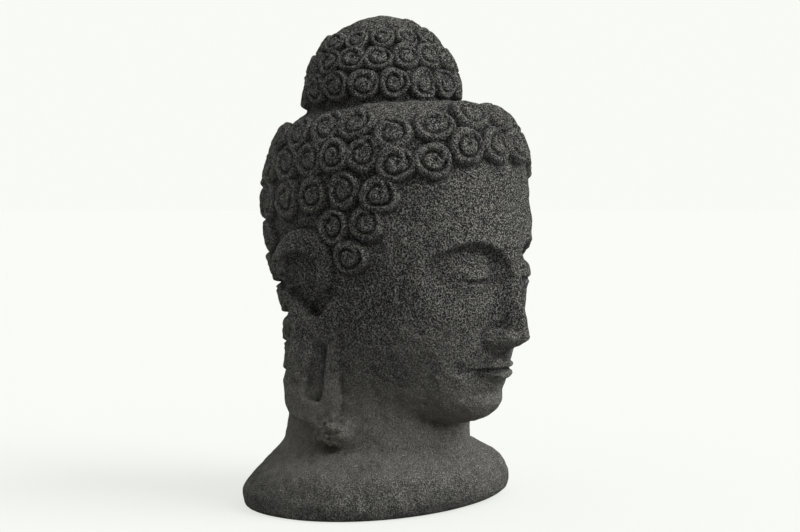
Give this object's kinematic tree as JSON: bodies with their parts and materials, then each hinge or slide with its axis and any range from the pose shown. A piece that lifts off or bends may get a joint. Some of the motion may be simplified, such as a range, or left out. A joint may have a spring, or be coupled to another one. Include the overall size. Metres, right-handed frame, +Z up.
{
  "type": "stone buddha head",
  "caption": "Carved volcanic stone head with snail curls, topknot and long ear lobes, standing on the flared foot of its neck as a garden or shelf ornament.",
  "frame": {"origin": "centre of the flat underside of the foot", "axes": "+Z up through the topknot, the face looks towards -Y, the figure's right ear is on the -X side"},
  "size_m": [0.187, 0.1833, 0.299],
  "materials": {
    "lava_stone": "rough, fine-pored dark volcanic stone, unpolished"
  },
  "bodies": {
    "root": {"buddha_head": "lava_stone"}
  },
  "joints": []
}
